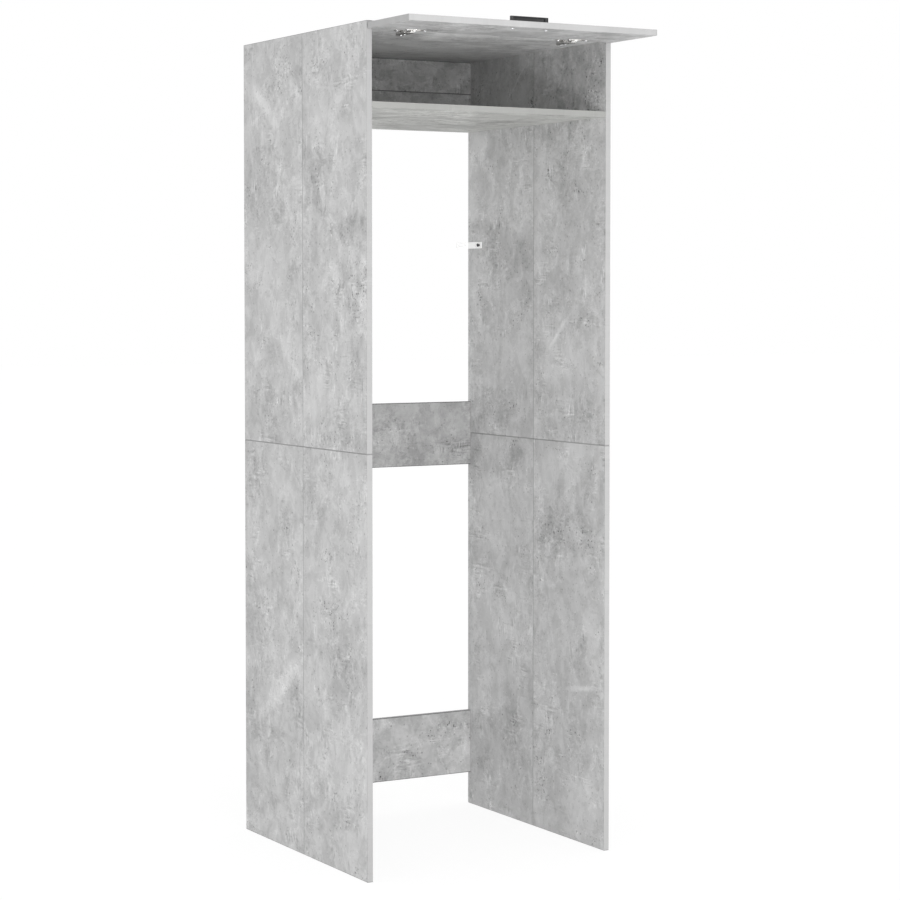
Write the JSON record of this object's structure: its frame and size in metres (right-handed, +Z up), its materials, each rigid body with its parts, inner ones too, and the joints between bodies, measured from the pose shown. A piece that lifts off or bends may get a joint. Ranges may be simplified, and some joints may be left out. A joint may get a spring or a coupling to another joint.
{
  "type": "washing machine cabinet",
  "caption": "Tall open-backed cabinet for a washing machine and dryer, with a shelf compartment closed by a lift-up flap on concealed hinges.",
  "frame": {"origin": "on the floor, at the middle of the footprint with the flap open", "axes": "+X to the right seen from the front, +Y from the front to the rear, +Z up"},
  "size_m": [0.71, 0.909, 2.1203],
  "materials": {
    "laminate": "matt grey concrete print on chipboard",
    "handle_black": "matt black coating",
    "nickel": "bright nickel plating",
    "zinc": "zinc plating",
    "bracket_white": "white coating",
    "bracket_screw_black": "black coating",
    "beech": "plain turned wood"
  },
  "bodies": {
    "root": {"compartment_back_lower": "laminate", "compartment_back_upper": "laminate", "left_arm_screw_front": "zinc", "left_arm_screw_rear": "zinc", "left_bracket_screw": "bracket_screw_black", "left_hinge_arm": "nickel", "left_hinge_plate": "nickel", "left_level_seam_dowel_1": "beech", "left_level_seam_dowel_2": "beech", "left_level_seam_dowel_3": "beech", "left_level_seam_dowel_4": "beech", "left_lower_front_board": "laminate", "left_lower_rear_board": "laminate", "left_plate_screw_a": "zinc", "left_plate_screw_b": "zinc", "left_upper_front_board": "laminate", "left_upper_rear_board": "laminate", "left_upright_seam_dowel_1": "beech", "left_upright_seam_dowel_2": "beech", "left_upright_seam_dowel_3": "beech", "left_upright_seam_dowel_4": "beech", "left_wall_bracket": "bracket_white", "lower_rail": "laminate", "middle_rail": "laminate", "right_arm_screw_front": "zinc", "right_arm_screw_rear": "zinc", "right_bracket_screw": "bracket_screw_black", "right_hinge_arm": "nickel", "right_hinge_plate": "nickel", "right_level_seam_dowel_1": "beech", "right_level_seam_dowel_2": "beech", "right_level_seam_dowel_3": "beech", "right_level_seam_dowel_4": "beech", "right_lower_front_board": "laminate", "right_lower_rear_board": "laminate", "right_plate_screw_a": "zinc", "right_plate_screw_b": "zinc", "right_upper_front_board": "laminate", "right_upper_rear_board": "laminate", "right_upright_seam_dowel_1": "beech", "right_upright_seam_dowel_2": "beech", "right_upright_seam_dowel_3": "beech", "right_upright_seam_dowel_4": "beech", "right_wall_bracket": "bracket_white", "shelf": "laminate", "top_panel": "laminate"},
    "flap": {"flap": "laminate", "handle": "handle_black", "left_cup_screw_a": "zinc", "left_cup_screw_b": "zinc", "left_handle_screw": "zinc", "left_hinge_cup": "nickel", "left_hinge_pin": "zinc", "right_cup_screw_a": "zinc", "right_cup_screw_b": "zinc", "right_handle_screw": "zinc", "right_hinge_cup": "nickel", "right_hinge_pin": "zinc"}
  },
  "joints": [
    {"name": "flap_hinge", "type": "hinge", "parent": "root", "child": "flap", "pos_m": [0, -0.2565, 2.098], "axis": [1, 0, 0], "range_deg": [-5, 90]}
  ]
}
